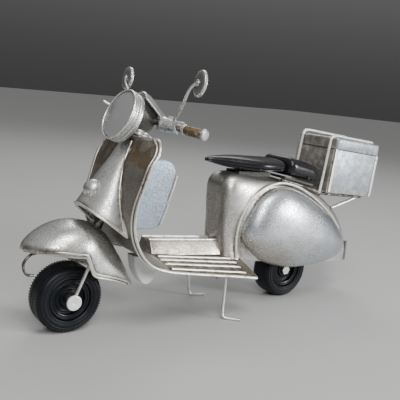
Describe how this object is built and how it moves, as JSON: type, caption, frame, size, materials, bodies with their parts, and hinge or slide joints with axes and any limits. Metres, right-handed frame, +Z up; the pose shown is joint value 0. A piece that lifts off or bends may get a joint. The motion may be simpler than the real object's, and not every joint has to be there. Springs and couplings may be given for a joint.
{
  "type": "toy scooter",
  "caption": "Handmade tin scooter ornament with steerable front fork, free-rolling wheels, folding stand, dual seats and a strapped rear top box.",
  "frame": {"origin": "middle of the bounding box in plan, on the ground that the tyres stand on", "axes": "+X forward, +Y to the scooter's left, +Z up"},
  "size_m": [0.1337, 0.0473, 0.0768],
  "materials": {
    "silver_tin": "satin silver paint over tin sheet, brownish grime in the recesses, worn edges",
    "worn_wire": "bright wire, rubbed, with dark solder residue",
    "dark_iron": "dark grey paint, satin",
    "blue_grey_tin": "fine hammered blue-grey silver paint",
    "black_seat": "glossy black moulding with a soft sheen",
    "black_rubber": "black moulded rubber",
    "black_hub": "black moulded hub, satin",
    "copper_grip": "worn copper-brown paint",
    "lamp_face": "smooth grey disc, semi-gloss",
    "mirror": "small polished disc",
    "white_cap": "bright silver-white cap, satin"
  },
  "bodies": {
    "chassis": {"head_tube": "silver_tin", "leg_shield": "silver_tin", "shield_wire_left": "worn_wire", "shield_wire_right": "worn_wire", "horn_cover": "silver_tin", "horn_cover_wires": "worn_wire", "horn_dome": "silver_tin", "glove_box": "blue_grey_tin", "glove_box_wire": "worn_wire", "floor_pan": "silver_tin", "floor_ribs": "worn_wire", "tunnel": "silver_tin", "tunnel_rails": "worn_wire", "spine_foot": "silver_tin", "body_shell": "silver_tin", "arch_wires": "worn_wire", "cowl_left": "silver_tin", "cowl_right": "silver_tin", "saddle_base": "dark_iron", "saddle": "black_seat", "pillion_pan": "dark_iron", "pillion": "black_seat", "rack_rails": "dark_iron", "rack_struts": "worn_wire", "box_case": "blue_grey_tin", "box_lid": "blue_grey_tin", "box_straps": "worn_wire", "box_corner_strips": "worn_wire", "tail_light": "worn_wire", "number_plate": "dark_iron", "swing_arm": "dark_iron", "rear_axle": "worn_wire", "stand_brackets": "silver_tin"},
    "steering": {"steering_column": "dark_iron", "lower_race": "dark_iron", "neck_collar": "worn_wire", "headset": "silver_tin", "lamp_bowl": "silver_tin", "lamp_rim": "silver_tin", "lamp_bezel": "worn_wire", "lamp_glass": "lamp_face", "handlebar": "dark_iron", "bar_collars": "silver_tin", "grips": "copper_grip", "grip_ferrules": "worn_wire", "levers": "worn_wire", "mirror_stems": "dark_iron", "mirror_heads": "dark_iron", "mirror_glasses": "mirror", "fork": "worn_wire", "mudguard": "silver_tin", "mudguard_rim": "worn_wire", "bumper_wire": "dark_iron", "front_axle": "worn_wire", "hub_caps": "white_cap"},
    "front_wheel": {"front_tyre": "black_rubber", "front_hub": "black_hub"},
    "rear_wheel": {"rear_tyre": "black_rubber", "rear_hub": "black_hub"},
    "stand": {"stand": "worn_wire"}
  },
  "joints": [
    {"name": "steering_turn", "type": "hinge", "parent": "chassis", "child": "steering", "pos_m": [0.05323, 0, 0.01], "axis": [-0.3955, 0, 0.9184], "range_deg": [-20, 20]},
    {"name": "front_wheel_spin", "type": "hinge", "parent": "steering", "child": "front_wheel", "pos_m": [0.05323, 0, 0.01], "axis": [0, 1, 0], "continuous": true},
    {"name": "rear_wheel_spin", "type": "hinge", "parent": "chassis", "child": "rear_wheel", "pos_m": [-0.03077, 0, 0.01], "axis": [0, 1, 0], "continuous": true},
    {"name": "stand_fold", "type": "hinge", "parent": "chassis", "child": "stand", "pos_m": [0.00283, 0, 0.0132], "axis": [0, 1, 0], "range_deg": [0, 50]}
  ]
}
